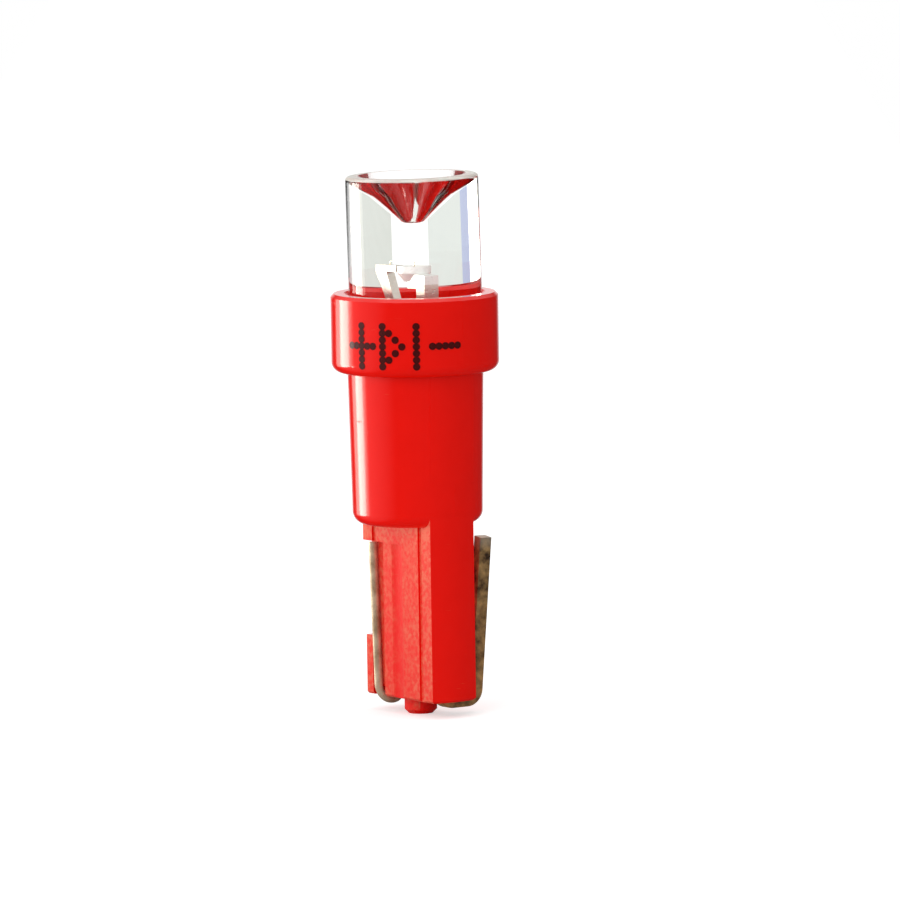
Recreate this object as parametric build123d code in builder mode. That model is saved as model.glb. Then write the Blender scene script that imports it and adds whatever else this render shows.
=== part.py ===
"""Wedge-base LED bulb: a clear 5 mm LED with a dished top, held in a moulded red holder.

The holder's lower end is a flat blade that plugs into a slotted socket. One LED lead and one
resistor lead leave the blade's foot and fold up beside its two broad faces as the contacts.
Millimetres, +Z up along the bulb's axis, X along the blade's width, Y through its thickness.
The origin is the middle of the foot of the small boss under the blade.
"""

import os
from math import radians, tan

from build123d import *

os.makedirs("parts", exist_ok=True)

# ---- holder: one red moulding ------------------------------------------------------------
boss_height = 0.6
boss_diameter = 1.2
boss_chamfer = 0.15
blade_height = 6.45
blade_width = 4.76
blade_thickness = 1.94
blade_edge = 0.08  # rounding of the blade's foot
body_height = 5.6
body_diameter = 4.78  # just above the shoulder
mould_draft = 1.15  # degrees, on the round body
seam_step = 0.025  # the two side strips stand this proud of the round body
shoulder_radius = 0.48
collar_diameter = 6.17
collar_foot_radius = 0.4
collar_rim = 0.12  # bevel round the collar's top
bore_chamfer = 0.12
seat_floor = 0.4  # from the lens's seat down to the collar's foot
resistor_room = 0.15  # all round the resistor in its bore
resistor_foot_room = 0.8  # below it, for its lead to step across
lead_hole_diameter = 0.74

# ---- details of the blade ----------------------------------------------------------------
channel_width = 0.76  # shallow wire channel, in line with the lead hole
channel_depth = 0.12
channel_height = 5.7
slot_depth = 0.35  # from each lead hole to its face, across the blade's foot
notch_low = 2.2  # snap notch at the -X edge of the -Y face, heights above the blade's foot
notch_high = 5.7
notch_width = 0.72
notch_depth = 0.5
notch_lead_in = 0.13  # the edge below the notch is set back by this
groove_spacing = 2.96  # the two fine grooves of each face
groove_width = 0.24
groove_depth = 0.08
sink_radius = 0.75  # shallow hollow down the middle of each face
sink_depth = 0.08

# ---- LED ---------------------------------------------------------------------------------
lens_diameter = 4.9
lens_height = 6.83
lens_seat_depth = 2.5  # how far the lens sits down in the collar
lens_clearance = 0.04
lens_edge = 0.14  # bevel of the rim
dish_rim = 0.37  # width of the rim round the dish
dish_tip_diameter = 0.62
dish_depth = 1.77
lead_pitch = 2.54
lead_side = 0.46  # square leads, and the sheet that the frames are stamped from
frame_height = 3.5  # top of the two frames above the lens's foot
kink_low = 0.8  # the frames step inwards here, which anchors them in the epoxy
kink_high = 1.6
cathode_offset = 0.65
anode_offset = 0.68
anode_top_offset = 0.98
anode_post_width = 0.24
anode_sheet = 0.22  # the anode is pressed thinner above its kink
post_width = 0.42
anvil_drop = 0.8
head_drop = 0.56
head_diameter = 0.84
head_foot_diameter = 0.5
cup_offset = 0.03
cup_diameter = 0.66
cup_floor_diameter = 0.42
cup_depth = 0.25
flag_height = 0.24
flag_gap = 0.16  # between the anode's flag and the cathode's head
flag_width = 0.62
die_side = 0.26
die_height = 0.12
attach_diameter = 0.38
attach_thickness = 0.03
bond_wire_radius = 0.0175  # six-sided here, finer than the eye sees
bond_loop = 0.26
anode_stub = 0.7  # anode lead left below the lens, soldered to the resistor

# ---- resistor ----------------------------------------------------------------------------
resistor_inset = 0.3  # its axis stands this far inwards of the anode lead's, and beside it in +Y
resistor_drop = 1.1  # from the lens's foot to the upper cap's end
core_diameter = 1.24
cap_diameter = 1.44
cap_length = 0.7
cap_spacing = 3.2  # over both caps
coat_diameter = 1.76
coat_waist = 1.6
coat_overhang = 0.1
wire_diameter = 0.3
joint_wire_gap = 0.04
solder_height = 0.46
solder_width = 0.9
solder_depth = 0.92

# ---- contacts folded up outside the blade ------------------------------------------------
contact_drop = 0.33  # how far the folds hang below the blade's foot
wire_clearance = 0.03  # from the wire to its channel's floor and side
wire_bend = 0.36
wire_fold = 0.62  # the wider bend up onto the blade's face
wire_foot_inset = 0.07
wire_top_gap = 0.02  # under the end of its channel
lead_bend = 0.4
lead_standoff = 0.28
lead_lean = 0.11
lead_splay = 0.61
lead_top_gap = 0.49  # under the shoulder

# ---- places worked out from the sizes ----------------------------------------------------
blade_foot = boss_height
shoulder = blade_foot + blade_height
collar_foot = shoulder + body_height
lens_foot = collar_foot + seat_floor
collar_top = lens_foot + lens_seat_depth
lead_x = lead_pitch / 2
face_y = blade_thickness / 2
blade_radius = blade_width / 2
blade_flat = (blade_radius**2 - face_y**2) ** 0.5
body_radius = body_diameter / 2
body_top_radius = body_radius + body_height * tan(radians(mould_draft))
collar_radius = collar_diameter / 2
collar_ledge = collar_radius - body_top_radius
lens_radius = lens_diameter / 2
bore_radius = lens_radius + lens_clearance
frame_top = lens_foot + frame_height
wire_radius = wire_diameter / 2
resistor_x = -lead_x + resistor_inset
resistor_y = lead_side / 2 + joint_wire_gap + wire_radius
resistor_bore_depth = resistor_drop + cap_spacing + resistor_foot_room


def cut_both_faces(x, y, z_low, z_high, width, depth):
    """A straight-sided cut in the -Y face, and the same turned half round the axis in the +Y face."""
    with BuildSketch(Plane.XY.offset(z_low)) as cuts:
        for turn in (1, -1):
            with Locations((turn * x, turn * y)):
                Rectangle(width, depth)
    extrude(cuts.sketch, amount=z_high - z_low, mode=Mode.SUBTRACT)


# ---- holder ------------------------------------------------------------------------------
with BuildPart() as holder:
    # The blade and the side strips above it: a round bar between two flats.
    with BuildSketch(Plane.XZ):
        with BuildLine():
            Polyline(
                (0, blade_foot),
                (blade_radius, blade_foot),
                (blade_radius, shoulder),
                (body_top_radius + seam_step, collar_foot),
                (0, collar_foot),
                close=True,
            )
        make_face()
    revolve(axis=Axis.Z)
    with BuildSketch(Plane.XY):
        Rectangle(collar_diameter, blade_thickness)
    extrude(amount=collar_top, mode=Mode.INTERSECT)
    chamfer(holder.faces().sort_by(Axis.Z)[0].edges(), length=blade_edge)
    # The round body with its rounded shoulder, and the collar.
    with BuildSketch(Plane.XZ):
        with BuildLine():
            FilletPolyline(
                (0, shoulder),
                (body_radius, shoulder),
                (body_top_radius, collar_foot),
                (collar_radius, collar_foot),
                (collar_radius, collar_top - collar_rim),
                (collar_radius - collar_rim, collar_top),
                (0, collar_top),
                radius=(shoulder_radius, 0, min(collar_foot_radius, 0.9 * collar_ledge), 0, 0),
            )
            Line((0, collar_top), (0, shoulder))
        make_face()
    revolve(axis=Axis.Z)
    # The boss under the foot.
    with BuildSketch(Plane.XY.offset(blade_foot)):
        Circle(boss_diameter / 2)
    extrude(amount=-boss_height)
    chamfer(holder.faces().sort_by(Axis.Z)[0].edges(), length=boss_chamfer)
    # The bore for the lens, and the resistor's own bore below its seat.
    with Locations((0, 0, collar_top)):
        Hole(bore_radius, depth=lens_seat_depth)
    rim = holder.edges().filter_by(GeomType.CIRCLE).group_by(Axis.Z)[-1].sort_by(SortBy.RADIUS)[0]
    chamfer(rim, length=bore_chamfer)
    with Locations((resistor_x, resistor_y, lens_foot)):
        Hole(coat_diameter / 2 + resistor_room, depth=resistor_bore_depth)
    # The lead holes down through the blade, and the slot from each across the foot to its face.
    with Locations((0, 0, lens_foot)):
        with GridLocations(lead_pitch, 0, 2, 1):
            Hole(lead_hole_diameter / 2, depth=lens_foot - blade_foot)
    cut_both_faces(-lead_x, -face_y / 2, blade_foot, blade_foot + slot_depth, channel_width, face_y)
    # Wire channels and fine grooves.
    cut_both_faces(
        -lead_x, -face_y, blade_foot, blade_foot + channel_height, channel_width, 2 * channel_depth
    )
    for groove_x in (-groove_spacing / 2, groove_spacing / 2):
        cut_both_faces(groove_x, -face_y, blade_foot, shoulder, groove_width, 2 * groove_depth)
    # The hollow down the middle of each face.
    with BuildSketch(Plane.XY.offset(blade_foot)):
        for side in (-1, 1):
            with Locations((0, side * (face_y + sink_radius - sink_depth))):
                Circle(sink_radius)
    extrude(amount=channel_height, mode=Mode.SUBTRACT)
    # The snap notch, and the set-back edge that leads up to it from the foot.
    for low, high, width in ((notch_low, notch_high, notch_width), (0, notch_low, notch_lead_in)):
        with BuildSketch(Plane.XY.offset(blade_foot + low)):
            with Locations((-blade_flat + width, -face_y)):
                Rectangle(blade_radius, 2 * notch_depth, align=(Align.MAX, Align.CENTER))
        extrude(amount=high - low, mode=Mode.SUBTRACT)
holder.part.label = "holder"

# ---- LED frames, stamped from one strip of tinned steel ----------------------------------
anvil_foot = frame_top - anvil_drop
head_foot = frame_top - head_drop
with BuildPart() as cathode_frame:
    with BuildSketch(Plane.XZ):
        with BuildLine():
            Polyline(
                (lead_x - lead_side / 2, lens_foot),
                (lead_x - lead_side / 2, lens_foot + kink_low),
                (cathode_offset - post_width / 2, lens_foot + kink_high),
                (cathode_offset - post_width / 2, anvil_foot),
                (cup_offset, anvil_foot),
                (cup_offset, frame_top - cup_depth - attach_thickness),
                (cathode_offset + post_width / 2, frame_top - head_drop + flag_height),
                (cathode_offset + post_width / 2, lens_foot + kink_high),
                (lead_x + lead_side / 2, lens_foot + kink_low),
                (lead_x + lead_side / 2, lens_foot),
                close=True,
            )
        make_face()
    extrude(amount=lead_side / 2, both=True)
    # The head that carries the reflector cup.
    with BuildSketch(Plane.XZ):
        with BuildLine():
            Polyline(
                (cup_offset, head_foot),
                (cup_offset + head_foot_diameter / 2, head_foot),
                (cup_offset + head_diameter / 2, frame_top - cup_depth),
                (cup_offset + head_diameter / 2, frame_top),
                (cup_offset, frame_top),
                close=True,
            )
        make_face()
    revolve(axis=Axis((cup_offset, 0, 0), (0, 0, 1)))
    with BuildSketch(Plane.XZ):
        with BuildLine():
            Polyline(
                (cup_offset, frame_top - cup_depth),
                (cup_offset + cup_floor_diameter / 2, frame_top - cup_depth),
                (cup_offset + cup_diameter / 2, frame_top),
                (cup_offset, frame_top),
                close=True,
            )
        make_face()
    revolve(axis=Axis((cup_offset, 0, 0), (0, 0, 1)), mode=Mode.SUBTRACT)
    # The long lead: down through the holder, under the blade and up outside it.
    run_z = blade_foot - contact_drop + lead_side / 2
    lead_y = face_y + lead_standoff + lead_side / 2
    with BuildLine() as lead_path:
        FilletPolyline(
            (lead_x, 0, lens_foot),
            (lead_x, 0, run_z),
            (lead_x, lead_y, run_z),
            (lead_x + lead_splay, lead_y + lead_lean, shoulder - lead_top_gap),
            radius=(lead_bend, lead_bend),
        )
    with BuildSketch(Plane((lead_x, 0, lens_foot), x_dir=(1, 0, 0), z_dir=(0, 0, -1))):
        Rectangle(lead_side, lead_side)
    sweep(path=lead_path.line)
cathode_frame.part.label = "cathode_frame"

with BuildPart() as anode_frame:
    flag_right = cup_offset - head_diameter / 2 - flag_gap
    flag_foot = frame_top - flag_height
    kink_foot = lens_foot + kink_low
    kink_top = lens_foot + kink_high
    with Locations((-lead_x, 0, lens_foot - anode_stub)):
        Box(lead_side, lead_side, anode_stub + kink_low, align=(Align.CENTER, Align.CENTER, Align.MIN))
    # The thin post: a kink inwards, then a slant outwards to the flag that the wire is bonded to.
    with BuildSketch(Plane.XZ):
        with BuildLine():
            Polyline(
                (-lead_x + lead_side / 2, kink_foot),
                (-anode_offset + anode_post_width / 2, kink_top),
                (-anode_offset + anode_post_width / 2, kink_top + post_width),
                (-anode_top_offset + anode_post_width / 2, flag_foot),
                (flag_right, flag_foot),
                (flag_right, frame_top),
                (flag_right - flag_width, frame_top),
                (flag_right - flag_width, flag_foot),
                (-anode_offset - anode_post_width / 2, kink_top + post_width),
                (-anode_offset - anode_post_width / 2, kink_top),
                (-lead_x - lead_side / 2, kink_foot),
                close=True,
            )
        make_face()
    extrude(amount=anode_sheet / 2, both=True)
anode_frame.part.label = "anode_frame"

# ---- the light-emitting chip, its cement and its wire ------------------------------------
cup_floor = frame_top - cup_depth
die_foot = cup_floor + attach_thickness
die_top = die_foot + die_height
with BuildPart() as die_attach:
    with BuildSketch(Plane.XY.offset(cup_floor)):
        with Locations((cup_offset, 0)):
            Circle(attach_diameter / 2)
    extrude(amount=attach_thickness)
die_attach.part.label = "die_attach"

with BuildPart() as led_die:
    with BuildSketch(Plane.XY.offset(die_foot)):
        with Locations((cup_offset, 0)):
            Rectangle(die_side, die_side)
    extrude(amount=die_height)
led_die.part.label = "led_die"

with BuildPart() as bond_wire:
    bond_x = flag_right - flag_width / 2
    with BuildLine() as bond_path:
        FilletPolyline(
            (cup_offset, 0, die_top),
            (cup_offset, 0, die_top + bond_loop),
            (bond_x, 0, frame_top + bond_loop / 2),
            (bond_x, 0, frame_top),
            radius=(bond_loop / 3, bond_loop / 4),
        )
    with BuildSketch(Plane.XY.offset(die_top)):
        with Locations((cup_offset, 0)):
            RegularPolygon(bond_wire_radius, side_count=6)
    sweep(path=bond_path.line)
bond_wire.part.label = "bond_wire"

# ---- lens: clear epoxy cast round the frames ---------------------------------------------
with BuildPart() as lens:
    lens_top = lens_foot + lens_height
    with BuildSketch(Plane.XZ):
        with BuildLine():
            Polyline(
                (0, lens_foot),
                (lens_radius, lens_foot),
                (lens_radius, lens_top - lens_edge),
                (lens_radius - lens_edge, lens_top),
                (lens_radius - dish_rim, lens_top),
                (dish_tip_diameter / 2, lens_top - dish_depth),
                (0, lens_top - dish_depth),
                close=True,
            )
        make_face()
    revolve(axis=Axis.Z)
    for cast_in in (cathode_frame, anode_frame, die_attach, led_die, bond_wire):
        add(cast_in.part, mode=Mode.SUBTRACT)
lens.part.label = "lens"

# ---- resistor in its bore, in series with the anode ---------------------------------------
cap_top = lens_foot - resistor_drop
cap_bottom = cap_top - cap_spacing
cap_wall = (cap_diameter - core_diameter) / 2
core_top = cap_top - cap_wall
core_bottom = cap_bottom + cap_wall
resistor_foot = Plane((resistor_x, resistor_y, 0))
resistor_side = Plane((resistor_x, resistor_y, 0), x_dir=(1, 0, 0), z_dir=(0, -1, 0))
with BuildPart() as resistor_core:
    with BuildSketch(resistor_foot.offset(core_bottom)):
        Circle(core_diameter / 2)
    extrude(amount=core_top - core_bottom)
resistor_core.part.label = "resistor_core"


def resistor_cap(end, inward):
    """A pressed cap over one end of the core, open towards the middle of the resistor."""
    with BuildPart() as cap:
        with BuildSketch(resistor_foot.offset(end)):
            Circle(cap_diameter / 2)
        extrude(amount=inward * cap_length)
        add(resistor_core.part, mode=Mode.SUBTRACT)
    return cap.part


resistor_cap_upper = resistor_cap(cap_top, -1)
resistor_cap_upper.label = "resistor_cap_upper"
resistor_cap_lower = resistor_cap(cap_bottom, 1)
resistor_cap_lower.label = "resistor_cap_lower"

with BuildPart() as resistor_lead_upper:
    with BuildSketch(resistor_foot.offset(cap_top)):
        Circle(wire_radius)
    extrude(amount=resistor_drop - anode_stub / 5)
resistor_lead_upper.part.label = "resistor_lead_upper"

with BuildPart() as resistor_lead_lower:
    bore_floor = lens_foot - resistor_bore_depth
    wire_run_z = blade_foot - contact_drop + wire_radius
    wire_y = -(face_y - channel_depth + wire_clearance + wire_radius)
    wire_top_x = -(lead_x + channel_width / 2 - wire_clearance - wire_radius)
    with BuildLine() as lower_path:
        FilletPolyline(
            (resistor_x, resistor_y, cap_bottom),
            (resistor_x, resistor_y, cap_bottom - resistor_foot_room / 4),
            (-lead_x, 0, bore_floor + resistor_foot_room / 8),
            (-lead_x, 0, wire_run_z),
            (-lead_x + wire_foot_inset, wire_y, wire_run_z),
            (wire_top_x, wire_y, blade_foot + channel_height - wire_top_gap),
            radius=(wire_radius, wire_radius, wire_bend, wire_fold),
        )
    with BuildSketch(resistor_foot.offset(cap_bottom)):
        Circle(wire_radius)
    sweep(path=lower_path.line)
resistor_lead_lower.part.label = "resistor_lead_lower"

with BuildPart() as resistor_coat:
    coat_top = cap_top + coat_overhang
    coat_bottom = cap_bottom - coat_overhang
    with BuildSketch(resistor_side):
        with BuildLine():
            Polyline(
                (0, coat_bottom),
                (coat_diameter / 2, coat_bottom),
                (coat_diameter / 2, cap_bottom + cap_length),
                (coat_waist / 2, cap_bottom + cap_length + cap_wall),
                (coat_waist / 2, cap_top - cap_length - cap_wall),
                (coat_diameter / 2, cap_top - cap_length),
                (coat_diameter / 2, coat_top),
                (0, coat_top),
                close=True,
            )
        make_face()
    revolve(axis=Axis((resistor_x, resistor_y, 0), (0, 0, 1)))
    ends = resistor_coat.edges().filter_by(GeomType.CIRCLE)
    chamfer([ends.sort_by(Axis.Z)[0], ends.sort_by(Axis.Z)[-1]], length=(coat_diameter - cap_diameter) / 2)
    for inside in (
        resistor_core.part,
        resistor_cap_upper,
        resistor_cap_lower,
        resistor_lead_upper.part,
        resistor_lead_lower.part,
    ):
        add(inside, mode=Mode.SUBTRACT)
resistor_coat.part.label = "resistor_coat"

# ---- solder between the anode's stub and the resistor's upper lead -----------------------
with BuildPart() as solder_joint:
    joint_y = (resistor_y + wire_radius - lead_side / 2) / 2
    with Locations((-lead_x + resistor_inset / 2, joint_y, lens_foot - anode_stub / 2)):
        Box(solder_width, solder_depth, solder_height)
    chamfer(solder_joint.edges(), length=solder_height / 4)
    add(anode_frame.part, mode=Mode.SUBTRACT)
    add(resistor_lead_upper.part, mode=Mode.SUBTRACT)
solder_joint.part.label = "solder_joint"

# ---- write each piece --------------------------------------------------------------------
pieces = (
    holder.part,
    lens.part,
    cathode_frame.part,
    anode_frame.part,
    led_die.part,
    die_attach.part,
    bond_wire.part,
    solder_joint.part,
    resistor_core.part,
    resistor_cap_upper,
    resistor_cap_lower,
    resistor_coat.part,
    resistor_lead_upper.part,
    resistor_lead_lower.part,
)
for piece in pieces:
    export_step(piece, f"parts/{piece.label}.step")
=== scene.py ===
from math import cos, pi, radians, sin, tan

import bpy
from mathutils import Matrix, Quaternion, Vector


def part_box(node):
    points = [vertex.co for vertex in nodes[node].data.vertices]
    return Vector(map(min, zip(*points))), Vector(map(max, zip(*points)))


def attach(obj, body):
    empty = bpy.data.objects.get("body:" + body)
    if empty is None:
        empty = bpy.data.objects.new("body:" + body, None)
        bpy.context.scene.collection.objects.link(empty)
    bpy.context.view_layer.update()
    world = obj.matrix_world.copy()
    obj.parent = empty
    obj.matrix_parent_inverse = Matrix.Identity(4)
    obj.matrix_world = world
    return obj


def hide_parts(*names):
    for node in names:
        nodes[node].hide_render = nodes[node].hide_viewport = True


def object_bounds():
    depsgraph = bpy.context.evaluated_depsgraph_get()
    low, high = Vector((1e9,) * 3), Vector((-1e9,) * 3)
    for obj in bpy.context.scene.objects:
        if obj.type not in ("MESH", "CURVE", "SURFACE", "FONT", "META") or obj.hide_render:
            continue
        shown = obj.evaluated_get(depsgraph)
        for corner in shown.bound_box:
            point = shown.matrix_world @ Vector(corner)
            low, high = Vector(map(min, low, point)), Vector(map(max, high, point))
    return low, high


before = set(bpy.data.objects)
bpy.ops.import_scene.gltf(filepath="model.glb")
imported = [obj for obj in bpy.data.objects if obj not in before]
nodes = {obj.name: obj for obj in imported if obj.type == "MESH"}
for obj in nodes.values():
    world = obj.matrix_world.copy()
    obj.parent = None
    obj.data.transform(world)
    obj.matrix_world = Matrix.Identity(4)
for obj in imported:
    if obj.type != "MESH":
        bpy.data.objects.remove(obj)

cad_low, cad_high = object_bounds()
bpy.ops.object.select_all(action="DESELECT")


# ---- camera ------------------------------------------------------------------------------
# A long lens a little above the bulb, turned well round from the blade's broad face, so that
# one broad face, one narrow side and both contacts show. It is rolled by under a degree.
view_turn = radians(55.2)
to_right = Vector((cos(view_turn), sin(view_turn), 0))
to_camera = Vector((sin(view_turn), -cos(view_turn), 0))
camera_distance = 0.37
camera_height = 0.049
camera_roll = radians(-0.9)
aim = to_right * 0.00122 + Vector((0, 0, 0.0097))
stand = aim + to_camera * camera_distance
stand.z = camera_height
bpy.ops.object.camera_add(location=stand)
camera = bpy.context.object
camera.name = "camera"
camera.data.lens = 405
sight = (stand - aim).to_track_quat("Z", "Y") @ Quaternion((0, 0, 1), camera_roll)
camera.rotation_euler = sight.to_euler()
bpy.context.scene.camera = camera


# ---- red holder --------------------------------------------------------------------------
# One moulding of glossy red thermoplastic. The two broad faces of the blade keep the fine
# spark-eroded grain of the mould, and the rest is polished, with small marks from handling.
holder = nodes["holder"]
holder_low, holder_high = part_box("holder")
millimetre = 0.001
shoulder_height = 7.05 * millimetre
blade_half_thickness = 0.97 * millimetre
red = (0.88, 0.0048, 0.0009, 1)
red_deep = (0.82, 0.0042, 0.0007, 1)
# Pale pink: painted sheen of the left lights on the grained faces, and also the colour of the scratches.
red_scuff_and_sheen = (0.82, 0.135, 0.07, 1)
paler_band_foot = 6.25  # the band at the top of the blade that is painted paler, in millimetres
blade_pit_size = 0.085  # in millimetres
polished_roughness = 0.14
grained_roughness = 0.7
grain_depth = 0.03 * millimetre


def new_group(name, inputs, outputs):
    """An empty shader node group; inputs are (name, kind, default) and outputs (name, kind)."""
    group = bpy.data.node_groups.new(name, "ShaderNodeTree")
    for label, kind, value in inputs:
        socket = group.interface.new_socket(label, in_out="INPUT", socket_type=kind)
        if value is not None:
            socket.default_value = value
    for label, kind in outputs:
        group.interface.new_socket(label, in_out="OUTPUT", socket_type=kind)
    group.nodes.new("NodeGroupInput").name = "in"
    group.nodes.new("NodeGroupOutput").name = "out"
    return group


def add_node(tree, kind, settings=None, **inputs):
    """A node with its settings; inputs are values, or sockets to link, by socket name."""
    node = tree.nodes.new(kind)
    for key, value in (settings or {}).items():
        setattr(node, key, value)
    for key, value in inputs.items():
        name = key.replace("_", " ")
        socket = node.inputs[int(key[1:])] if key[1:].isdigit() else node.inputs[name]
        if isinstance(value, bpy.types.NodeSocket):
            tree.links.new(value, socket)
        else:
            socket.default_value = value
    return node


def math(tree, operation, *values):
    """A math node on values or sockets; returns its output."""
    node = tree.nodes.new("ShaderNodeMath")
    node.operation = operation
    for socket, value in zip(node.inputs, values):
        if isinstance(value, bpy.types.NodeSocket):
            tree.links.new(value, socket)
        else:
            socket.default_value = value
    return node.outputs[0]


def blend_colour(tree, factor, first, second):
    """first where factor is 0, second where it is 1."""
    node = tree.nodes.new("ShaderNodeMix")
    node.data_type = "RGBA"
    for socket, value in ((node.inputs[0], factor), (node.inputs[6], first), (node.inputs[7], second)):
        if isinstance(value, bpy.types.NodeSocket):
            tree.links.new(value, socket)
        else:
            socket.default_value = value
    return node.outputs[2]


def blend_value(tree, factor, first, second):
    """first where factor is 0, second where it is 1, for plain values."""
    node = tree.nodes.new("ShaderNodeMix")
    for socket, value in ((node.inputs[0], factor), (node.inputs[2], first), (node.inputs[3], second)):
        if isinstance(value, bpy.types.NodeSocket):
            tree.links.new(value, socket)
        else:
            socket.default_value = value
    return node.outputs[0]


def noise(tree, place, scale, detail, roughness=0.5):
    """Smooth noise from 0 to 1 at a place, with about scale features to one unit of it."""
    node = add_node(
        tree, "ShaderNodeTexNoise", Vector=place, Scale=scale, Detail=detail, Roughness=roughness
    )
    return node.outputs["Fac"]


def ramp(tree, value, start, end, low=0.0, high=1.0):
    """low where value is at start, high where it is at end, level beyond both."""
    node = add_node(
        tree, "ShaderNodeMapRange", Value=value, From_Min=start, From_Max=end, To_Min=low, To_Max=high
    )
    return node.outputs[0]


def rough_bump(tree, shader, height, strength, depth):
    """Gives a shader's surface a relief of a depth in metres."""
    bump = add_node(tree, "ShaderNodeBump", Height=height, Strength=strength, Distance=depth)
    tree.links.new(bump.outputs[0], shader.inputs["Normal"])


def new_material(name):
    """A material with a Principled shader; returns the material, its tree and the shader."""
    material = bpy.data.materials.new(name)
    material.use_nodes = True
    tree = material.node_tree
    return material, tree, tree.nodes["Principled BSDF"]


def place_in_mm(tree):
    """Object coordinates in millimetres."""
    place = tree.nodes.new("ShaderNodeTexCoord").outputs["Object"]
    scaled = add_node(tree, "ShaderNodeVectorMath", {"operation": "SCALE"}, Vector=place)
    scaled.inputs["Scale"].default_value = 1 / millimetre
    return scaled.outputs[0]


def dress(node, material):
    """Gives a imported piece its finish."""
    for material_slot in node.material_slots:
        material_slot.material = material


# Grain of a spark-eroded mould face: soft pits of about a tenth of a millimetre.
mould_grain = new_group(
    "mould_grain",
    [("Place", "NodeSocketVector", None), ("Pit size", "NodeSocketFloat", 0.1)],
    [("Height", "NodeSocketFloat"), ("Patches", "NodeSocketFloat"), ("Mottle", "NodeSocketFloat")],
)
into, out = mould_grain.nodes["in"], mould_grain.nodes["out"]
place = into.outputs["Place"]
pits_per_mm = math(mould_grain, "DIVIDE", 1.0, into.outputs["Pit size"])
pits = noise(mould_grain, place, pits_per_mm, 3.0)
wide = noise(mould_grain, place, 1.6, 2.0)
clumps_per_mm = math(mould_grain, "MULTIPLY", pits_per_mm, 0.55)
clumps = noise(mould_grain, place, clumps_per_mm, 3.0, 0.6)
mottle = ramp(mould_grain, clumps, 0.40, 0.64)
mould_grain.links.new(mottle, out.inputs["Mottle"])
mould_grain.links.new(pits, out.inputs["Height"])
mould_grain.links.new(wide, out.inputs["Patches"])

# Marks from handling: a few hairline scratches and scattered specks, as masks from 0 to 1.
handling_marks = new_group(
    "handling_marks",
    [("Place", "NodeSocketVector", None), ("Density", "NodeSocketFloat", 0.5)],
    [("Scratches", "NodeSocketFloat"), ("Specks", "NodeSocketFloat")],
)
into, out = handling_marks.nodes["in"], handling_marks.nodes["out"]
place = into.outputs["Place"]
slanted = add_node(
    handling_marks, "ShaderNodeMapping", Vector=place, Rotation=(0.2, 0.35, 0.1), Scale=(0.9, 0.9, 9.0)
)
hairlines = noise(handling_marks, slanted.outputs[0], 0.9, 5.0)
thinned = math(handling_marks, "MULTIPLY", into.outputs["Density"], 0.08)
line_edge = math(handling_marks, "SUBTRACT", 0.74, thinned)
dots = add_node(handling_marks, "ShaderNodeTexVoronoi", Vector=place, Scale=1.7)
scratches = ramp(handling_marks, hairlines, line_edge, 0.78)
specks = ramp(handling_marks, dots.outputs["Distance"], 0.05, 0.02)
handling_marks.links.new(scratches, out.inputs["Scratches"])
handling_marks.links.new(specks, out.inputs["Specks"])

plastic, tree, shader = new_material("red_plastic")
place = place_in_mm(tree)
axes = add_node(tree, "ShaderNodeSeparateXYZ", Vector=place)
normal = add_node(tree, "ShaderNodeSeparateXYZ", Vector=tree.nodes["Texture Coordinate"].outputs["Normal"])
grain = add_node(tree, "ShaderNodeGroup", {"node_tree": mould_grain}, Place=place)
grain.inputs["Pit size"].default_value = blade_pit_size
marks = add_node(tree, "ShaderNodeGroup", {"node_tree": handling_marks}, Place=place)

# The grain is only on the two broad faces of the blade.
facing = math(tree, "GREATER_THAN", math(tree, "ABSOLUTE", normal.outputs["Y"]), 0.6)
off_plane = math(tree, "ABSOLUTE", axes.outputs["Y"])
within_blade = math(tree, "LESS_THAN", off_plane, blade_half_thickness / millimetre + 0.01)
below_body = math(tree, "LESS_THAN", axes.outputs["Z"], shoulder_height / millimetre + 0.35)
on_blade = math(tree, "MULTIPLY", within_blade, below_body)
grain_mask = math(tree, "MULTIPLY", facing, on_blade)

# Painted sheen and shade: the grained faces are painted pale pink for the sheen of the left lights, mottled
# with the grain and paler at the top and towards the edges, and painted darker in the middle hollow for its
# shade.
paler_top = ramp(tree, axes.outputs["Z"], paler_band_foot, paler_band_foot + 0.5, 0.0, 0.5)
pale = math(tree, "ADD", math(tree, "MULTIPLY", grain.outputs["Patches"], 0.75), paler_top)
off_middle = math(tree, "ABSOLUTE", axes.outputs["X"])
# Painted shade: the colour is darker down the middle hollow.
hollow_shade = ramp(tree, off_middle, 0.36, 0.22, 0.0, 0.3)
outer = ramp(tree, off_middle, 0.6, 1.6, 0.0, 0.22)
pale = math(tree, "SUBTRACT", math(tree, "ADD", pale, outer), hollow_shade)
pale = math(tree, "MULTIPLY", pale, blend_value(tree, grain.outputs["Mottle"], 0.3, 1.5))
pale = math(tree, "MULTIPLY", grain_mask, pale)
shade = blend_colour(tree, grain.outputs["Patches"], red, red_deep)
# Painted sheen: the grained faces turn pale pink where the lights' sheen would lie.
shade = blend_colour(tree, pale, shade, red_scuff_and_sheen)
shade = blend_colour(tree, math(tree, "MULTIPLY", marks.outputs["Scratches"], 0.3), shade, red_scuff_and_sheen)
tree.links.new(shade, shader.inputs["Base Color"])
roughness = blend_value(tree, grain_mask, polished_roughness, grained_roughness)
roughness = math(tree, "ADD", roughness, math(tree, "MULTIPLY", marks.outputs["Specks"], 0.1))
tree.links.new(roughness, shader.inputs["Roughness"])
relief = math(tree, "MULTIPLY", grain.outputs["Height"], blend_value(tree, grain_mask, 0.04, 1.0))
relief = math(tree, "SUBTRACT", relief, math(tree, "MULTIPLY", marks.outputs["Scratches"], 0.3))
rough_bump(tree, shader, relief, 0.6, grain_depth)
shader.inputs["IOR"].default_value = 1.5
dress(holder, plastic)


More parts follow.
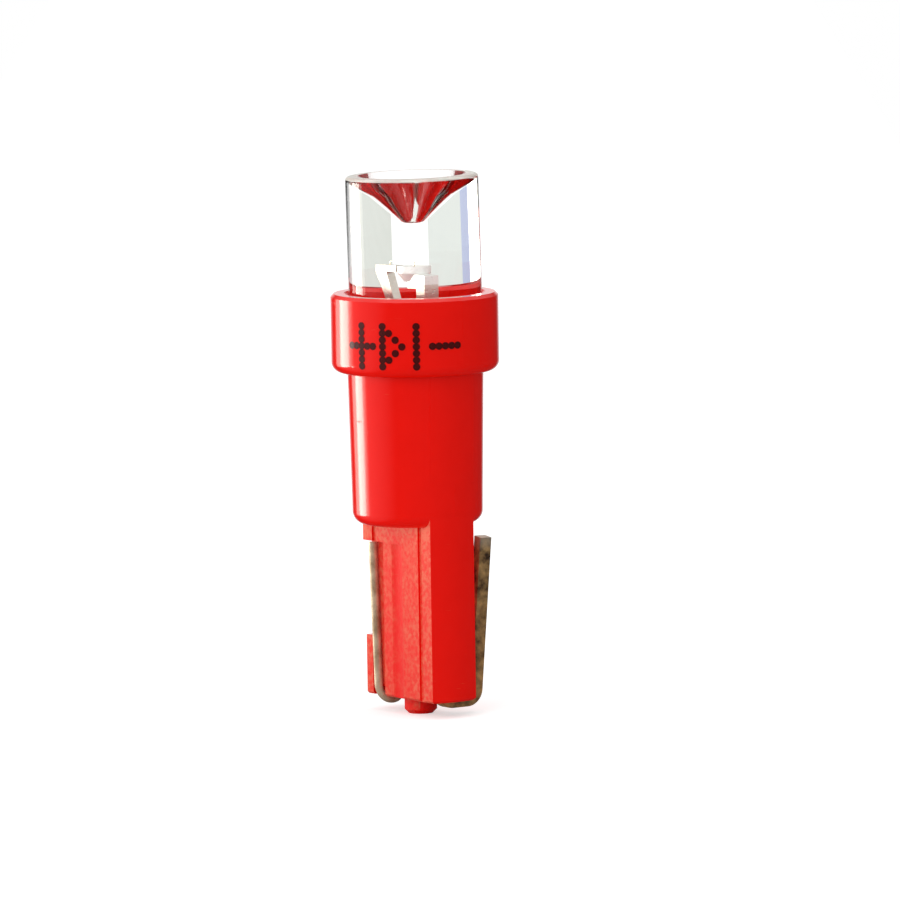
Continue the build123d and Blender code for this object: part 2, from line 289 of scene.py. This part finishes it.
# ---- polarity marks on the collar --------------------------------------------------------
# Black ink put on by a dot printer: a plus, the sign of a diode and a minus. Each dot is a
# thin round pad of ink, domed a little, that lies on the collar's wall.
collar_radius = (holder_high.x - holder_low.x) / 2
ink_pitch = 0.245 * millimetre
ink_radius = 0.135 * millimetre
ink_thickness = 0.012 * millimetre
ink_top = 14.56 * millimetre
ink_marks = (
    (-48, ("..#..", "..#..", "..#..", "#####", "..#..", "..#..", "..#..")),
    (-22.5, ("#...", "##..", "#.#.", "#..#", "#.#.", "##..", "#...")),
    (1, ("#", "#", "#", "#", "#", "#", "#")),
    (12, (".....", ".....", ".....", "#####", ".....", ".....", ".....")),
)
bpy.ops.mesh.primitive_cylinder_add(
    vertices=16,
    radius=ink_radius,
    depth=2 * ink_thickness,
    location=(collar_radius, 0, 0),
    rotation=(0, radians(90), 0),
)
ink_dot = bpy.context.object
bpy.ops.object.transform_apply(location=True, rotation=True, scale=True)
for face in ink_dot.data.polygons:
    face.select = face.normal.x > 0.9
bpy.ops.object.mode_set(mode="EDIT")
bpy.ops.mesh.select_mode(type="FACE")
bpy.ops.mesh.inset(thickness=ink_radius / 4)
bpy.ops.transform.translate(value=(ink_thickness / 3, 0, 0))
bpy.ops.object.mode_set(mode="OBJECT")
front = view_turn - pi / 2
ink_dots = []
for start, rows in ink_marks:
    for row, line in enumerate(rows):
        for column, letter in enumerate(line):
            if letter == "#":
                bpy.ops.object.select_all(action="DESELECT")
                ink_dot.select_set(True)
                bpy.context.view_layer.objects.active = ink_dot
                bpy.ops.object.duplicate(linked=False)
                dot = bpy.context.object
                dot.rotation_euler.z = front + radians(start) + column * ink_pitch / collar_radius
                dot.location.z = ink_top - row * ink_pitch
                ink_dots.append(dot)
bpy.data.objects.remove(ink_dot)
bpy.ops.object.select_all(action="DESELECT")
for dot in ink_dots:
    dot.select_set(True)
ink = ink_dots[0]
bpy.context.view_layer.objects.active = ink
bpy.ops.object.join()
bpy.ops.object.transform_apply(location=True, rotation=True, scale=True)
ink.name = "polarity_marks"
bpy.ops.object.shade_smooth_by_angle(angle=radians(40))

printing, tree, shader = new_material("printing_ink")
grain = add_node(tree, "ShaderNodeGroup", {"node_tree": mould_grain}, Place=place_in_mm(tree))
grain.inputs["Pit size"].default_value = 0.07
thin_ink, full_ink = (0.10, 0.003, 0.003, 1), (0.03, 0.0015, 0.0015, 1)
tree.links.new(blend_colour(tree, grain.outputs["Height"], thin_ink, full_ink), shader.inputs["Base Color"])
shader.inputs["Roughness"].default_value = 0.25
rough_bump(tree, shader, grain.outputs["Height"], 0.5, 0.01 * millimetre)
ink.data.materials.append(printing)
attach(ink, "root")


# ---- LED lens ----------------------------------------------------------------------------
# Clear cast epoxy with a conical dish in its top, solid round the two frames. It starts as a
# cylinder, whose top is inset by the rim and pushed down in two slopes to a small flat.
lens_low, lens_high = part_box("lens")
lens_radius = (lens_high.x - lens_low.x) / 2
lens_bed = 0.02 * millimetre  # how far it beds into the seat
lens_foot = lens_low.z - lens_bed
rim_width = 0.45 * millimetre
turn_radius = 1.08 * millimetre  # where the dish turns steeper
turn_depth = 0.76 * millimetre
tip_radius = 0.26 * millimetre
tip_rounding = 0.10 * millimetre
dish_depth = 1.77 * millimetre
rim_rounding = 0.16 * millimetre
lens_lean = radians(1.0)
lean_height = 17.9 * millimetre
bpy.ops.mesh.primitive_cylinder_add(
    vertices=128,
    radius=lens_radius,
    depth=lens_high.z - lens_foot,
    location=(0, 0, (lens_foot + lens_high.z) / 2),
)
lens = bpy.context.object
lens.name = "led_lens"
bpy.ops.object.transform_apply(location=True, rotation=True, scale=True)
for face in lens.data.polygons:
    face.select = face.normal.z > 0.9
bpy.ops.object.mode_set(mode="EDIT")
bpy.ops.mesh.select_mode(type="FACE")
bpy.ops.mesh.inset(thickness=rim_width)
dish_radius = lens_radius - rim_width
for radius, drop in ((turn_radius, turn_depth), (tip_radius, dish_depth - turn_depth)):
    bpy.ops.mesh.extrude_region_move(TRANSFORM_OT_translate={"value": (0, 0, -drop)})
    share = radius / dish_radius
    bpy.ops.transform.resize(value=(share, share, 1), center_override=(0, 0, 0))
    dish_radius = radius
for height, reach, rounding in (
    (lens_high.z - dish_depth, tip_radius, tip_rounding),
    (lens_high.z, lens_radius, rim_rounding),
):
    bpy.ops.mesh.select_mode(type="EDGE")
    bpy.ops.mesh.select_all(action="DESELECT")
    bpy.ops.object.mode_set(mode="OBJECT")
    for edge in lens.data.edges:
        ends = [lens.data.vertices[corner].co for corner in edge.vertices]
        edge.select = all(abs(end.z - height) < 1e-6 and abs(end.xy.length - reach) < 1e-6 for end in ends)
    bpy.ops.object.mode_set(mode="EDIT")
    bpy.ops.mesh.bevel(offset=rounding, segments=5, affect="EDGES")
bpy.ops.mesh.select_all(action="SELECT")
for axis, turn in (("X", -lens_lean * to_camera.x), ("Y", -lens_lean * to_camera.y)):
    bpy.ops.transform.rotate(value=turn, orient_axis=axis, center_override=(0, 0, lean_height))
bpy.ops.mesh.normals_make_consistent(inside=False)
bpy.ops.object.mode_set(mode="OBJECT")
bpy.ops.object.shade_smooth_by_angle(angle=radians(20))

epoxy, tree, shader = new_material("clear_epoxy")
place = place_in_mm(tree)
flow = add_node(tree, "ShaderNodeMapping", Vector=place, Scale=(0.5, 0.5, 2.0))
rough_bump(tree, shader, noise(tree, flow.outputs[0], 1.4, 2.0), 0.02, 0.02 * millimetre)
shader.inputs["Base Color"].default_value = (0.985, 0.99, 0.98, 1)
shader.inputs["Roughness"].default_value = 0.0
shader.inputs["IOR"].default_value = 1.5
shader.inputs["Transmission Weight"].default_value = 1.0
path = tree.nodes.new("ShaderNodeLightPath")
clear = tree.nodes.new("ShaderNodeBsdfTransparent")
clear.inputs[0].default_value = (0.93, 0.93, 0.93, 1)
either = tree.nodes.new("ShaderNodeMixShader")
tree.links.new(path.outputs["Is Shadow Ray"], either.inputs[0])
tree.links.new(shader.outputs[0], either.inputs[1])
tree.links.new(clear.outputs[0], either.inputs[2])
tree.links.new(either.outputs[0], tree.nodes["Material Output"].inputs["Surface"])
lens.data.materials.append(epoxy)

# The rim is left as it comes from the mould, a little milky.
milky, tree, shader = new_material("milky_epoxy")
grain = add_node(tree, "ShaderNodeGroup", {"node_tree": mould_grain}, Place=place_in_mm(tree))
grain.inputs["Pit size"].default_value = 0.12
milk_thin, milk_thick = (0.93, 0.94, 0.86, 1), (0.86, 0.87, 0.78, 1)
milk = blend_colour(tree, grain.outputs["Mottle"], milk_thin, milk_thick)
tree.links.new(milk, shader.inputs["Base Color"])
shader.inputs["Roughness"].default_value = 0.35
shader.inputs["IOR"].default_value = 1.5
shader.inputs["Transmission Weight"].default_value = 0.35
lens.data.materials.append(milky)
rim_reach = lens_radius - rim_width
for face in lens.data.polygons:
    far_out = face.center.xy.length > rim_reach - 0.1 * millimetre
    if far_out and face.center.z > lens_high.z - rim_rounding and face.normal.z > 0.3:
        face.material_index = 1
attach(lens, "root")
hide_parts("lens")


# ---- LED frames and contacts -------------------------------------------------------------
# Two stampings of tinned steel strip. They are bright where the epoxy seals them, and the
# lead that is folded up outside the blade is tarnished yellow and brown by air and heat.
tarnish = new_group(
    "tarnish",
    [("Place", "NodeSocketVector", None), ("Patch size", "NodeSocketFloat", 0.5)],
    [("Patches", "NodeSocketFloat"), ("Grit", "NodeSocketFloat")],
)
into, out = tarnish.nodes["in"], tarnish.nodes["out"]
patches_per_mm = math(tarnish, "DIVIDE", 1.0, into.outputs["Patch size"])
patches = noise(tarnish, into.outputs["Place"], patches_per_mm, 4.0, 0.6)
grit = noise(tarnish, into.outputs["Place"], 14.0, 3.0)
tarnish.links.new(patches, out.inputs["Patches"])
tarnish.links.new(grit, out.inputs["Grit"])

tin = (0.80, 0.77, 0.72, 1)
tin_dull = (0.62, 0.56, 0.47, 1)
brass_pale = (0.72, 0.44, 0.17, 1)
brass_brown = (0.055, 0.026, 0.012, 1)
blade_top = shoulder_height / millimetre
silver = (0.93, 0.93, 0.90, 1)
stain_size = 0.7  # in millimetres
head_height = 15.9  # the cathode is spot plated with matt silver above this, in millimetres
unplated = 99.0  # far above the bulb, for what is not plated
wire_pale = (0.80, 0.66, 0.46, 1)
wire_brown = (0.40, 0.28, 0.16, 1)


def metal(name, dull, pale, brown, plated_above):
    """Tinned steel, tarnished below the blade's top and silver plated above a height in millimetres."""
    material, tree, shader = new_material(name)
    place = place_in_mm(tree)
    height = add_node(tree, "ShaderNodeSeparateXYZ", Vector=place).outputs["Z"]
    stain = add_node(tree, "ShaderNodeGroup", {"node_tree": tarnish}, Place=place)
    stain.inputs["Patch size"].default_value = stain_size
    outside = ramp(tree, height, blade_top, blade_top - 1.0)
    bands = add_node(tree, "ShaderNodeValToRGB", Fac=stain.outputs["Patches"])
    bands.color_ramp.elements[0].position = 0.37
    bands.color_ramp.elements[0].color = brown
    bands.color_ramp.elements[1].position = 0.66
    bands.color_ramp.elements[1].color = pale
    plated = math(tree, "GREATER_THAN", height, plated_above)
    inner = blend_colour(tree, stain.outputs["Grit"], tin, dull)
    inner = blend_colour(tree, plated, inner, silver)
    tree.links.new(blend_colour(tree, outside, inner, bands.outputs[0]), shader.inputs["Base Color"])
    rough = blend_value(tree, outside, 0.22, 0.38)
    rough = math(tree, "ADD", rough, math(tree, "MULTIPLY", stain.outputs["Grit"], 0.15))
    tree.links.new(rough, shader.inputs["Roughness"])
    shine = blend_value(tree, plated, blend_value(tree, outside, 0.85, 0.45), 0.2)
    tree.links.new(shine, shader.inputs["Metallic"])
    rough_bump(tree, shader, stain.outputs["Grit"], 0.35, 0.02 * millimetre)
    return material


dress(nodes["cathode_frame"], metal("cathode_steel", tin_dull, brass_pale, brass_brown, head_height))
dress(nodes["anode_frame"], metal("anode_steel", tin_dull, brass_pale, brass_brown, unplated))
wire_metal = metal("tinned_wire", tin_dull, wire_pale, wire_brown, unplated)
dress(nodes["resistor_lead_lower"], wire_metal)
dress(nodes["resistor_lead_upper"], wire_metal)


# ---- chip, cement and bond wire ----------------------------------------------------------
# A sawn crystal a quarter of a millimetre square, on silver-filled cement in the cup, with a
# fine gold wire from its top to the other frame.
def plain_finish(name, first, second, size, roughness, metallic=0.0):
    """A finish that wanders between two colours over patches of a size in millimetres."""
    material, tree, shader = new_material(name)
    grain = add_node(tree, "ShaderNodeGroup", {"node_tree": mould_grain}, Place=place_in_mm(tree))
    grain.inputs["Pit size"].default_value = size
    tree.links.new(blend_colour(tree, grain.outputs["Height"], first, second), shader.inputs["Base Color"])
    shader.inputs["Metallic"].default_value = metallic
    shader.inputs["Roughness"].default_value = roughness
    rough_bump(tree, shader, grain.outputs["Height"], 0.4, 0.01 * millimetre)
    return material


crystal = plain_finish("led_crystal", (0.75, 0.75, 0.6, 1), (0.5, 0.52, 0.4, 1), 0.05, 0.15)
cement = plain_finish("silver_cement", (0.7, 0.7, 0.7, 1), (0.5, 0.5, 0.5, 1), 0.03, 0.45, 0.6)
gold_wire = plain_finish("gold_wire", (0.94, 0.84, 0.62, 1), (0.9, 0.78, 0.55, 1), 0.04, 0.2, 1.0)
dress(nodes["led_die"], crystal)
dress(nodes["die_attach"], cement)
dress(nodes["bond_wire"], gold_wire)


# ---- resistor ----------------------------------------------------------------------------
# A film resistor stands in the holder's cavity: a ceramic rod with pressed steel caps under
# a skin of lacquer with painted bands. Its upper lead is soldered to the LED's short lead.
ceramic = plain_finish("ceramic", (0.85, 0.82, 0.75, 1), (0.7, 0.67, 0.6, 1), 0.08, 0.6)
cap_metal = plain_finish("pressed_cap", (0.72, 0.71, 0.69, 1), (0.55, 0.54, 0.52, 1), 0.1, 0.3, 1.0)
solder = plain_finish("solder", (0.7, 0.7, 0.7, 1), (0.5, 0.5, 0.5, 1), 0.12, 0.3, 1.0)
dress(nodes["resistor_core"], ceramic)
dress(nodes["resistor_cap_upper"], cap_metal)
dress(nodes["resistor_cap_lower"], cap_metal)
dress(nodes["solder_joint"], solder)

beige = (0.62, 0.46, 0.27, 1)
brown = (0.10, 0.03, 0.01, 1)
red_paint = (0.5, 0.02, 0.01, 1)
gold = (0.5, 0.33, 0.08, 1)
bands = (  # where each colour starts, as a share of the coat's height
    (0.0, beige),
    (0.14, gold),
    (0.22, beige),
    (0.42, red_paint),
    (0.5, beige),
    (0.58, brown),
    (0.66, beige),
    (0.78, brown),
    (0.86, beige),
)
lacquer, tree, shader = new_material("resistor_lacquer")
height = add_node(tree, "ShaderNodeSeparateXYZ", Vector=place_in_mm(tree)).outputs["Z"]
coat_low, coat_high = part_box("resistor_coat")
along = ramp(tree, height, coat_low.z / millimetre, coat_high.z / millimetre)
paint = add_node(tree, "ShaderNodeValToRGB", Fac=along)
paint.color_ramp.interpolation = "CONSTANT"
for position, colour in bands[1:]:
    paint.color_ramp.elements.new(position)
for element, (position, colour) in zip(paint.color_ramp.elements, bands):
    element.position = position
    element.color = colour
tree.links.new(paint.outputs[0], shader.inputs["Base Color"])
shader.inputs["Roughness"].default_value = 0.3
dress(nodes["resistor_coat"], lacquer)


# ---- studio ------------------------------------------------------------------------------
# A pale strip of floor that runs back from just in front of the bulb, and a surround that is
# white behind and overhead and dark at the front. Two low lights behind on the left draw the
# bright line down the plastic, and soft ones in front and above fill it.
floor_front = 0.055
floor_back = 0.9
floor_width = 0.06


def upright_card(name, left, right, foot, head, behind):
    """A flat card that faces the camera, upright, with its edges at these distances in metres."""
    middle = to_right * (left + right) / 2 - to_camera * behind + Vector((0, 0, (foot + head) / 2))
    turned = Matrix.Rotation(view_turn, 4, "Z") @ Matrix.Rotation(pi / 2, 4, "X")
    bpy.ops.mesh.primitive_plane_add(size=1, location=middle, rotation=turned.to_euler())
    card = bpy.context.object
    card.name = name
    card.scale = (right - left, head - foot, 1)
    return card


bpy.ops.mesh.primitive_plane_add(
    size=1,
    location=to_camera * (floor_front - floor_back) / 2 + Vector((0, 0, cad_low.z)),
    rotation=(0, 0, view_turn),
)
floor = bpy.context.object
floor.name = "floor"
floor.scale = (floor_width, floor_front + floor_back, 1)
pale, tree, shader = new_material("floor_paint")
shader.inputs["Base Color"].default_value = (0.8, 0.8, 0.8, 1)
shader.inputs["Roughness"].default_value = 0.9
shader.inputs["Specular IOR Level"].default_value = 0.0
path = tree.nodes.new("ShaderNodeLightPath")
lift = tree.nodes.new("ShaderNodeEmission")
through = math(tree, "MAXIMUM", path.outputs["Is Glossy Ray"], path.outputs["Is Transmission Ray"])
seen = math(tree, "MAXIMUM", path.outputs["Is Camera Ray"], through)
tree.links.new(math(tree, "MULTIPLY", seen, 0.5), lift.inputs["Strength"])
both = tree.nodes.new("ShaderNodeAddShader")
tree.links.new(shader.outputs[0], both.inputs[0])
tree.links.new(lift.outputs[0], both.inputs[1])
tree.links.new(both.outputs[0], tree.nodes["Material Output"].inputs["Surface"])
pale.cycles.emission_sampling = "NONE"
floor.data.materials.append(pale)
floor.visible_glossy = False


def card_paint(name, colour, streak_colour):
    """An evenly lit card with faint streaks."""
    material, tree, shader = new_material(name)
    place = tree.nodes.new("ShaderNodeTexCoord").outputs["Generated"]
    level = add_node(tree, "ShaderNodeMapping", Vector=place, Scale=(2.0, 240.0, 1.0))
    streaks = noise(tree, level.outputs[0], 1.5, 2.0)
    glow = tree.nodes.new("ShaderNodeEmission")
    tree.links.new(blend_colour(tree, streaks, colour, streak_colour), glow.inputs["Color"])
    tree.links.new(glow.outputs[0], tree.nodes["Material Output"].inputs["Surface"])
    material.cycles.emission_sampling = "NONE"
    return material


# Grey cards behind the lens on both sides, which only the clear epoxy shows.
card_distance = 0.05
card_foot, card_head = -0.004, 0.08
pale_grey = card_paint("grey_card", (0.80, 0.82, 0.77, 1), (0.73, 0.76, 0.71, 1))
green_grey = card_paint("green_grey_card", (0.87, 0.91, 0.87, 1), (0.82, 0.86, 0.82, 1))
blue_grey = card_paint("blue_grey_card", (0.58, 0.63, 0.84, 1), (0.54, 0.60, 0.82, 1))
for name, first, last, paint in (
    ("right_card", 12, 50, pale_grey),
    ("left_card", -33, -8, green_grey),
    ("blue_card", -44, -33, blue_grey),
):
    card = upright_card(
        name,
        card_distance * tan(radians(first)),
        card_distance * tan(radians(last)),
        card_foot,
        card_head,
        card_distance,
    )
    card.data.materials.append(paint)
    card.visible_camera = False
    card.visible_diffuse = False
    card.visible_glossy = False
    card.visible_shadow = False

# The surround: an even level on the object, white to the camera and through clear pieces, and
# in reflections white only behind the object and overhead.
object_level = 0.65
world = bpy.data.worlds.new("surround")
bpy.context.scene.world = world
world.use_nodes = True
tree = world.node_tree
background = tree.nodes["Background"]
world.cycles.sampling_method = "NONE"
path = tree.nodes.new("ShaderNodeLightPath")
direction = tree.nodes.new("ShaderNodeTexCoord").outputs["Generated"]
forward = add_node(tree, "ShaderNodeVectorMath", {"operation": "DOT_PRODUCT"}, Vector=direction)
forward.inputs[1].default_value = to_camera
behind = ramp(tree, forward.outputs["Value"], -0.9, -0.985)
height = add_node(tree, "ShaderNodeSeparateXYZ", Vector=direction).outputs["Z"]
overhead = ramp(tree, height, 0.25, 0.7)
white = math(tree, "MAXIMUM", behind, overhead)
sideways = add_node(tree, "ShaderNodeVectorMath", {"operation": "DOT_PRODUCT"}, Vector=direction)
sideways.inputs[1].default_value = -to_right
sheen = ramp(tree, sideways.outputs["Value"], 0.6, 1.0, 0.04, 0.6)
mirrored = blend_value(tree, white, sheen, 1.0)
level = blend_value(tree, path.outputs["Is Glossy Ray"], object_level, mirrored)
seen = math(tree, "MAXIMUM", path.outputs["Is Camera Ray"], path.outputs["Is Transmission Ray"])
tree.links.new(blend_value(tree, seen, level, 1.0), background.inputs["Strength"])
background.inputs["Color"].default_value = (1, 1, 1, 1)


def soft_light(name, turn, height, distance, width, tall, strength):
    """An area light aimed at the bulb, from a turn in degrees to the camera's right."""
    side = Matrix.Rotation(radians(turn), 3, "Z") @ to_camera
    middle = Vector((0, 0, 10 * millimetre))
    spot = middle + side * distance + Vector((0, 0, height))
    bpy.ops.object.light_add(type="AREA", location=spot)
    light = bpy.context.object
    light.name = name
    light.data.shape = "RECTANGLE"
    light.data.size = width
    light.data.size_y = tall
    light.data.energy = strength * pi * width * tall
    light.rotation_euler = (spot - middle).to_track_quat("Z", "Y").to_euler()
    return light


key = soft_light(
    "key_light", turn=-35, height=0.16, distance=0.40, width=0.35, tall=0.35, strength=1.9
)
key.visible_glossy = False
for name, turn, width, strength in (
    ("edge_light", -114, 0.111, 9.0),
    ("edge_glow", -117, 0.23, 2.4),
):
    edge = soft_light(
        name, turn=turn, height=-0.032, distance=0.30, width=width, tall=0.10, strength=strength
    )
    edge.data.color = (1, 0.93, 0.83)
soft_light("top_light", turn=20, height=0.40, distance=0.05, width=0.35, tall=0.35, strength=0.6)


# ---- view settings -----------------------------------------------------------------------
# The view settings.
bpy.context.scene.view_settings.view_transform = "Standard"
